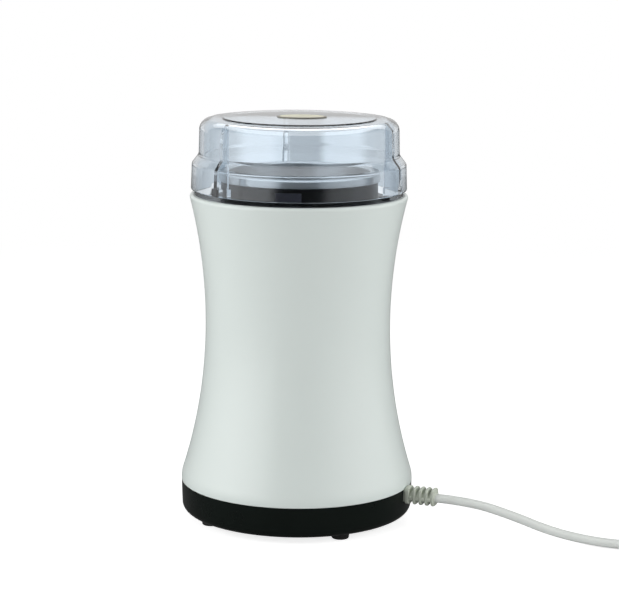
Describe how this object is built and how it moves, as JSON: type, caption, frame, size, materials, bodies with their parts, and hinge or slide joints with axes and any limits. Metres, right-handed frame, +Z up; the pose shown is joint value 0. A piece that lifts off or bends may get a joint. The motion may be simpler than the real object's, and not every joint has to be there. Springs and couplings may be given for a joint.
{
  "type": "electric coffee grinder",
  "caption": "Upright blade coffee grinder with a waisted white body, black base ring, clear stepped lid with inner fins, steel bowl and mains cord.",
  "frame": {"origin": "middle of the base on the table under the feet", "axes": "+Z up along the rotor axis, -Y towards the front of the picture, +X to the side where the cord leaves"},
  "size_m": [0.276, 0.1102, 0.173],
  "materials": {
    "white_shell": "glossy white",
    "black_base": "satin black",
    "black_collar": "polished black",
    "clear_lid": "clear smoky plastic",
    "bowl_steel": "polished stainless",
    "rubber_feet": "matt",
    "screw_steel": "zinc plated",
    "shaft_steel": "ground",
    "lamination": "stacked sheet",
    "copper_wire": "enamelled",
    "bracket_zinc": "cast",
    "bronze_bush": "sintered",
    "carbon": "carbon",
    "inner_black": "moulded",
    "fan_plastic": "moulded",
    "plunger_red": "moulded",
    "capacitor_yellow": "potted",
    "lead_insulation": "insulation",
    "cord_white": "flexible vinyl",
    "plug_brass": "plated",
    "tie_black": "matt"
  },
  "bodies": {
    "housing": {"body_shell": "white_shell", "base_cover": "black_base", "collar": "black_collar", "bowl": "bowl_steel", "feet": "rubber_feet", "motor_mounts": "rubber_feet", "bowl_gasket": "rubber_feet", "shaft_seal": "rubber_feet", "base_screws": "screw_steel", "motor_bolts": "screw_steel", "mount_screws": "screw_steel", "clamp_screws": "screw_steel", "switch_screws": "screw_steel", "thrust_washers": "shaft_steel", "brush_springs": "shaft_steel", "stator_core": "lamination", "field_coils": "copper_wire", "upper_bracket": "bracket_zinc", "upper_bearing": "bronze_bush", "lower_bearing": "bronze_bush", "brush_holders": "bronze_bush", "switch_terminals": "bronze_bush", "carbon_brushes": "carbon", "lower_bracket": "inner_black", "microswitch": "inner_black", "cord_clamp": "fan_plastic", "capacitor": "capacitor_yellow", "lead_wires": "lead_insulation", "cord": "cord_white", "cord_coil": "cord_white", "inner_cord": "cord_white", "strain_relief": "cord_white", "plug_body": "cord_white", "plug_blades": "plug_brass", "coil_tie": "tie_black"},
    "rotor": {"motor_shaft": "shaft_steel", "armature_core": "lamination", "armature_windings": "copper_wire", "commutator": "copper_wire", "fan": "fan_plastic", "blade_spacer": "fan_plastic", "blade": "bowl_steel", "blade_nut": "bowl_steel"},
    "switch_button": {"switch_button": "inner_black", "button_spring": "shaft_steel"},
    "switch_plunger": {"switch_plunger": "plunger_red"},
    "lid": {"lid": "clear_lid"}
  },
  "joints": [
    {"name": "rotor_spin", "type": "hinge", "parent": "housing", "child": "rotor", "pos_m": [0, 0, 0.08], "axis": [0, 0, 1], "continuous": true},
    {"name": "lid_press", "type": "slide", "parent": "housing", "child": "switch_button", "axis": [0, 0, 1], "range_m": [-0.0015, 0], "stiffness_N_per_m": 600, "springref_m": 0.004, "deforming": ["button_spring"]},
    {"name": "plunger_travel", "type": "slide", "parent": "housing", "child": "switch_plunger", "axis": [0, 0, 1], "range_m": [-0.0015, 0]},
    {"name": "lid_lift", "type": "slide", "parent": "switch_button", "child": "lid", "axis": [0, 0, 1], "range_m": [0, 0.06]}
  ],
  "couplings": [
    {"joint": "plunger_travel", "follows": "lid_press", "ratio": 1}
  ]
}
